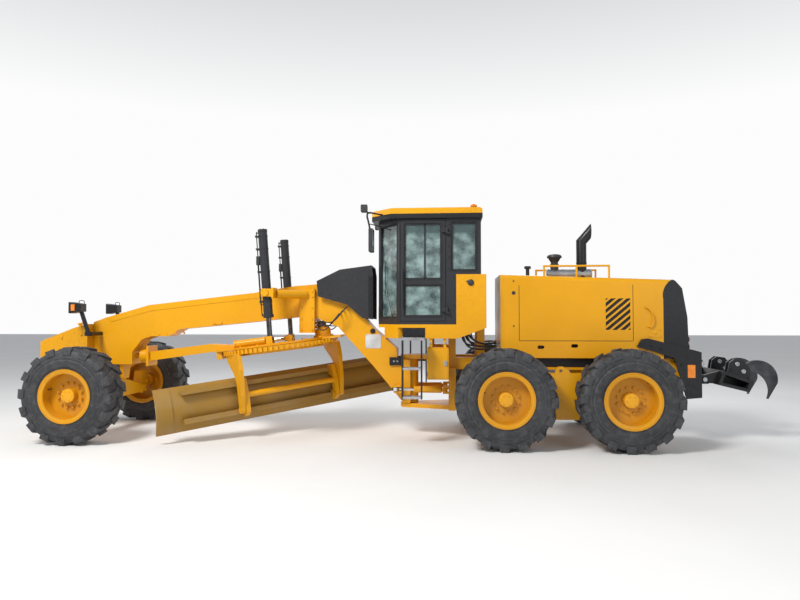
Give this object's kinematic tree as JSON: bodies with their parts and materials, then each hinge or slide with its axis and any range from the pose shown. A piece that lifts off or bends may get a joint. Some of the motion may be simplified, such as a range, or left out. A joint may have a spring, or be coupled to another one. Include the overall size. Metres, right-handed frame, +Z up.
{
  "type": "motor grader",
  "caption": "articulated motor grader with arched front frame, tandem rear wheels, leaning front wheels, toothed circle, side-shift blade and rear ripper",
  "frame": {"origin": "on the ground under the middle of the machine's length and width", "axes": "+X forward, +Y to the machine's left, +Z up"},
  "size_m": [10.4952, 2.6727, 3.2648],
  "materials": {
    "black_paint": "satin black enamel",
    "cast_iron": "engine casting",
    "fabric": "woven seat cloth",
    "glass": "blue-green tinted cab glass",
    "plastic": "textured black plastic",
    "rubber": "black traction tyre",
    "steel": "bare steel treads",
    "worn_steel": "dark worn tool steel",
    "yellow_paint": "warm yellow gloss enamel"
  },
  "bodies": {
    "rear_body": {"rear_frame": "yellow_paint", "engine_block": "cast_iron", "rear_axle": "black_paint", "hood": "yellow_paint", "hood_louvres": "black_paint", "radiator_housing": "black_paint", "engine_stacks": "black_paint", "hand_rail": "yellow_paint", "cab_frame": "black_paint", "cab_glass": "glass", "cab_roof": "yellow_paint", "cab_base": "yellow_paint", "seat_base": "plastic", "seat_cushion": "fabric", "seat_back": "fabric", "control_console": "plastic", "side_ladders": "black_paint", "side_boxes": "black_paint", "roof_fittings": "black_paint", "ripper_frame": "black_paint"},
    "front_body": {"front_frame": "yellow_paint", "front_block": "yellow_paint", "head_lamps": "black_paint", "lift_saddle": "yellow_paint", "hose_cover": "black_paint"},
    "axle_body": {"front_axle": "yellow_paint"},
    "lean_left": {"lean_bracket_left": "yellow_paint"},
    "lean_right": {"lean_bracket_right": "yellow_paint"},
    "knuckle_left": {"steering_knuckle_left": "yellow_paint"},
    "knuckle_right": {"steering_knuckle_right": "yellow_paint"},
    "wheel_front_left": {"rim_front_left": "yellow_paint", "tyre_front_left": "rubber"},
    "wheel_front_right": {"rim_front_right": "yellow_paint", "tyre_front_right": "rubber"},
    "tandem_left": {"tandem_case_left": "yellow_paint"},
    "wheel_middle_left": {"rim_middle_left": "yellow_paint", "tyre_middle_left": "rubber"},
    "wheel_rear_left": {"rim_rear_left": "yellow_paint", "tyre_rear_left": "rubber"},
    "tandem_right": {"tandem_case_right": "yellow_paint"},
    "wheel_middle_right": {"rim_middle_right": "yellow_paint", "tyre_middle_right": "rubber"},
    "wheel_rear_right": {"rim_rear_right": "yellow_paint", "tyre_rear_right": "rubber"},
    "drawbar_body": {"drawbar": "yellow_paint"},
    "circle_body": {"blade_circle": "yellow_paint"},
    "carrier_body": {"blade_carrier": "yellow_paint"},
    "blade_body": {"blade": "yellow_paint"},
    "lift_barrel_body_left": {"lift_barrel_left": "black_paint"},
    "lift_rod_body_left": {"lift_rod_left": "steel"},
    "lift_barrel_body_right": {"lift_barrel_right": "black_paint"},
    "lift_rod_body_right": {"lift_rod_right": "steel"},
    "articulation_barrel_body_left": {"articulation_barrel_left": "yellow_paint"},
    "articulation_rod_body_left": {"articulation_rod_left": "steel"},
    "articulation_barrel_body_right": {"articulation_barrel_right": "yellow_paint"},
    "articulation_rod_body_right": {"articulation_rod_right": "steel"},
    "door_left": {"cab_door_left": "black_paint"},
    "door_right": {"cab_door_right": "black_paint"},
    "ripper_body": {"ripper_beam": "black_paint", "ripper_tines": "worn_steel"}
  },
  "joints": [
    {"name": "frame_articulation", "type": "hinge", "parent": "rear_body", "child": "front_body", "pos_m": [-0.232, 0, 0.78], "axis": [0, 0, 1], "range_deg": [-25, 25]},
    {"name": "axle_swing", "type": "hinge", "parent": "front_body", "child": "axle_body", "pos_m": [4.278, 0, 0.86], "axis": [1, 0, 0], "range_deg": [-15, 15]},
    {"name": "lean_left_joint", "type": "hinge", "parent": "axle_body", "child": "lean_left", "pos_m": [4.278, 0.73, 0.56], "axis": [1, 0, 0], "range_deg": [-18, 18]},
    {"name": "lean_right_joint", "type": "hinge", "parent": "axle_body", "child": "lean_right", "pos_m": [4.278, -0.73, 0.56], "axis": [1, 0, 0], "range_deg": [-18, 18]},
    {"name": "steer_left", "type": "hinge", "parent": "lean_left", "child": "knuckle_left", "pos_m": [4.278, 0.88, 0.65], "axis": [0, 0, 1], "range_deg": [-45, 45]},
    {"name": "steer_right", "type": "hinge", "parent": "lean_right", "child": "knuckle_right", "pos_m": [4.278, -0.88, 0.65], "axis": [0, 0, 1], "range_deg": [-45, 45]},
    {"name": "spin_front_left", "type": "hinge", "parent": "knuckle_left", "child": "wheel_front_left", "pos_m": [4.278, 1.077, 0.65], "axis": [0, 1, 0], "continuous": true},
    {"name": "spin_front_right", "type": "hinge", "parent": "knuckle_right", "child": "wheel_front_right", "pos_m": [4.278, -1.077, 0.65], "axis": [0, 1, 0], "continuous": true},
    {"name": "tandem_left_swing", "type": "hinge", "parent": "rear_body", "child": "tandem_left", "pos_m": [-2.282, 0.71, 0.65], "axis": [0, 1, 0], "range_deg": [-15, 15]},
    {"name": "spin_middle_left", "type": "hinge", "parent": "tandem_left", "child": "wheel_middle_left", "pos_m": [-1.507, 1.077, 0.65], "axis": [0, 1, 0], "continuous": true},
    {"name": "spin_rear_left", "type": "hinge", "parent": "tandem_left", "child": "wheel_rear_left", "pos_m": [-3.057, 1.077, 0.65], "axis": [0, 1, 0], "continuous": true},
    {"name": "tandem_right_swing", "type": "hinge", "parent": "rear_body", "child": "tandem_right", "pos_m": [-2.282, -0.71, 0.65], "axis": [0, 1, 0], "range_deg": [-15, 15]},
    {"name": "spin_middle_right", "type": "hinge", "parent": "tandem_right", "child": "wheel_middle_right", "pos_m": [-1.507, -1.077, 0.65], "axis": [0, 1, 0], "continuous": true},
    {"name": "spin_rear_right", "type": "hinge", "parent": "tandem_right", "child": "wheel_rear_right", "pos_m": [-3.057, -1.077, 0.65], "axis": [0, 1, 0], "continuous": true},
    {"name": "drawbar_lift", "type": "hinge", "parent": "front_body", "child": "drawbar_body", "pos_m": [3.828, 0, 1.12], "axis": [0, 1, 0], "range_deg": [-12, 0]},
    {"name": "circle_turn", "type": "hinge", "parent": "drawbar_body", "child": "circle_body", "pos_m": [1.696, 0, 1.265], "axis": [-0.1253, 0, -0.9921], "range_deg": [-102, 0]},
    {"name": "blade_tilt", "type": "hinge", "parent": "circle_body", "child": "carrier_body", "pos_m": [1.4771, 0.14766, 0.48629], "axis": [0.771, 0.6293, -0.0974], "range_deg": [-5, 30]},
    {"name": "blade_side_shift", "type": "slide", "parent": "carrier_body", "child": "blade_body", "axis": [0.771, 0.6293, -0.0974], "range_m": [-0.515, 0.685]},
    {"name": "lift_barrel_swing_left", "type": "hinge", "parent": "front_body", "child": "lift_barrel_body_left", "pos_m": [1.758, 0.6, 2.04], "axis": [0, 1, 0], "range_deg": [-0.863, 0]},
    {"name": "lift_rod_slide_left", "type": "slide", "parent": "lift_barrel_body_left", "child": "lift_rod_body_left", "axis": [-0.0779, 0, -0.997], "range_m": [0, 0.45117]},
    {"name": "lift_barrel_swing_right", "type": "hinge", "parent": "front_body", "child": "lift_barrel_body_right", "pos_m": [1.758, -0.6, 2.04], "axis": [0, 1, 0], "range_deg": [-0.863, 0]},
    {"name": "lift_rod_slide_right", "type": "slide", "parent": "lift_barrel_body_right", "child": "lift_rod_body_right", "axis": [-0.0779, 0, -0.997], "range_m": [0, 0.45117]},
    {"name": "articulation_barrel_swing_left", "type": "hinge", "parent": "rear_body", "child": "articulation_barrel_body_left", "pos_m": [-0.722, 0.3, 0.675], "axis": [0, 0, 1], "range_deg": [-6.88, 6.88]},
    {"name": "articulation_rod_slide_left", "type": "slide", "parent": "articulation_barrel_body_left", "child": "articulation_rod_body_left", "axis": [0.9979, -0.0651, 0], "range_m": [-0.11862, 0.11862]},
    {"name": "articulation_barrel_swing_right", "type": "hinge", "parent": "rear_body", "child": "articulation_barrel_body_right", "pos_m": [-0.722, -0.3, 0.675], "axis": [0, 0, 1], "range_deg": [-6.88, 6.88]},
    {"name": "articulation_rod_slide_right", "type": "slide", "parent": "articulation_barrel_body_right", "child": "articulation_rod_body_right", "axis": [0.9979, 0.0651, 0], "range_m": [-0.11862, 0.11862]},
    {"name": "door_left_hinge", "type": "hinge", "parent": "rear_body", "child": "door_left", "pos_m": [-0.762, 0.742, 2.34], "axis": [0, 0, 1], "range_deg": [0, 95]},
    {"name": "door_right_hinge", "type": "hinge", "parent": "rear_body", "child": "door_right", "pos_m": [-0.762, -0.742, 2.34], "axis": [0, 0, -1], "range_deg": [0, 95]},
    {"name": "ripper_lift", "type": "hinge", "parent": "rear_body", "child": "ripper_body", "pos_m": [-4.267, 0, 0.85], "axis": [0, 1, 0], "range_deg": [-45, 0]}
  ],
  "couplings": [
    {"joint": "lean_right_joint", "follows": "lean_left_joint", "ratio": 1},
    {"joint": "steer_right", "follows": "steer_left", "ratio": 1},
    {"joint": "lift_barrel_swing_left", "follows": "drawbar_lift", "ratio": 0.07048},
    {"joint": "lift_rod_slide_left", "follows": "drawbar_lift", "m_per_rad": -2.1328},
    {"joint": "lift_barrel_swing_right", "follows": "drawbar_lift", "ratio": 0.07048},
    {"joint": "lift_rod_slide_right", "follows": "drawbar_lift", "m_per_rad": -2.1328},
    {"joint": "articulation_barrel_swing_left", "follows": "frame_articulation", "ratio": 0.2696},
    {"joint": "articulation_rod_slide_left", "follows": "frame_articulation", "m_per_rad": -0.26916},
    {"joint": "articulation_barrel_swing_right", "follows": "frame_articulation", "ratio": 0.2696},
    {"joint": "articulation_rod_slide_right", "follows": "frame_articulation", "m_per_rad": 0.26916}
  ]
}
